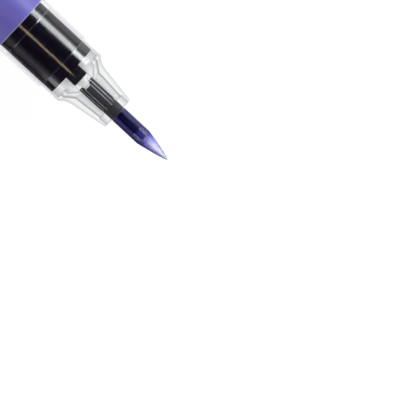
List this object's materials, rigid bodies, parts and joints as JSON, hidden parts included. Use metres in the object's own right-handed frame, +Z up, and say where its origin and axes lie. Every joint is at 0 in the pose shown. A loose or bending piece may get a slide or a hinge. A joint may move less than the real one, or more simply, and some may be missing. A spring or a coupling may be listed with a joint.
{
  "type": "brush-tip paint marker",
  "caption": "Clear-barrelled paint marker with a press valve, a fluted feed in a clear nozzle, a pointed fibre brush tip and its cap posted on the tail.",
  "frame": {"origin": "middle of the marker's length, on the surface that it lies on", "axes": "+X along the marker's axis towards the brush tip, +Z up"},
  "size_m": [0.1648, 0.0156, 0.0155],
  "materials": {
    "clear_plastic": "clear, polished",
    "violet_film": "satin printed film",
    "violet_plastic": "satin moulded",
    "white_plastic": "satin moulded",
    "grey_plastic": "satin moulded",
    "dark_plastic": "satin moulded",
    "violet_fibre": "fine fibres wet with paint",
    "black_rubber": "matte",
    "spring_steel": "bright drawn wire and polished ball"
  },
  "bodies": {
    "barrel_unit": {"barrel": "clear_plastic", "label_sleeve": "violet_film", "nozzle": "clear_plastic", "mouth_bush": "clear_plastic", "valve_plate": "clear_plastic", "valve_cage": "grey_plastic", "valve_spring": "spring_steel", "tail_plug": "violet_plastic", "tail_o_ring": "black_rubber"},
    "brush_unit": {"brush_holder": "dark_plastic", "feed_core": "violet_fibre", "brush_bristles": "violet_fibre"},
    "valve_unit": {"valve_plunger": "white_plastic", "plunger_seal": "black_rubber"},
    "cap_unit": {"cap_shell": "violet_plastic", "inner_cap": "white_plastic"},
    "ball_unit": {"mixing_ball": "spring_steel"}
  },
  "joints": [
    {"name": "tip_press", "type": "slide", "parent": "barrel_unit", "child": "brush_unit", "axis": [-1, 0, 0], "range_m": [0, 0.001], "stiffness_N_per_m": 1500, "springref_m": -0.0004},
    {"name": "valve_lift", "type": "slide", "parent": "barrel_unit", "child": "valve_unit", "axis": [-1, 0, 0], "range_m": [0, 0.001], "deforming": ["valve_spring"]},
    {"name": "cap_pull", "type": "slide", "parent": "barrel_unit", "child": "cap_unit", "axis": [-1, 0, 0], "range_m": [0, 0.025]},
    {"name": "ball_roll", "type": "slide", "parent": "barrel_unit", "child": "ball_unit", "axis": [1, 0, 0], "range_m": [-0.047, 0.043]}
  ],
  "couplings": [
    {"joint": "valve_lift", "follows": "tip_press", "ratio": 1}
  ]
}
